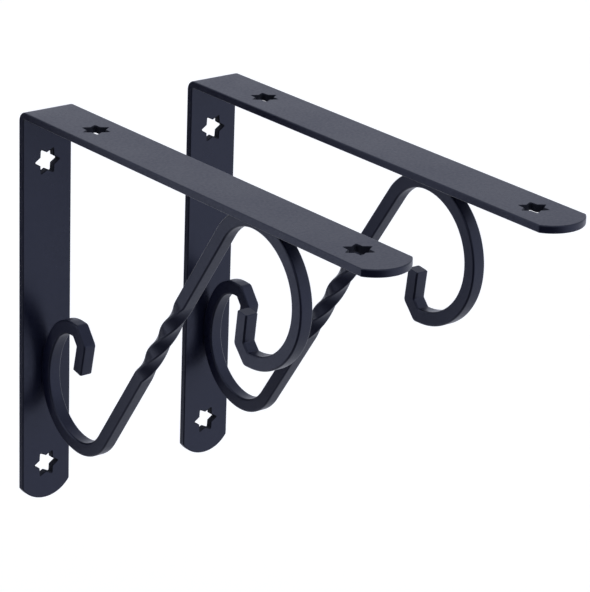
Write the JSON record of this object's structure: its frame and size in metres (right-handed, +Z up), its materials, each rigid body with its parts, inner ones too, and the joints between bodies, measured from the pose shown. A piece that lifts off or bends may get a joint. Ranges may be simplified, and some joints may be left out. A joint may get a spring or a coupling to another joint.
{
  "type": "scrolled shelf brackets",
  "caption": "Dark L-shaped wall shelf brackets: bent flat strap with star screw holes, braced by a twisted square bar strut with curled ends.",
  "frame": {"origin": "midway between the two brackets, on the line where the wall's face meets the underside of the shelf", "axes": "+X to the right along the wall as seen from the room, +Y into the wall, +Z up"},
  "size_m": [0.096, 0.1994, 0.1548],
  "materials": {
    "strap_coat": "satin blue-black powder coat",
    "bar_coat": "satin blue-black powder coat",
    "weld_coat": "satin blue-black powder coat over weld metal"
  },
  "bodies": {
    "root": {"left_strap": "strap_coat", "left_strut": "bar_coat", "left_arm_weld": "weld_coat", "left_leg_weld": "weld_coat", "right_strap": "strap_coat", "right_strut": "bar_coat", "right_arm_weld": "weld_coat", "right_leg_weld": "weld_coat"}
  },
  "joints": []
}
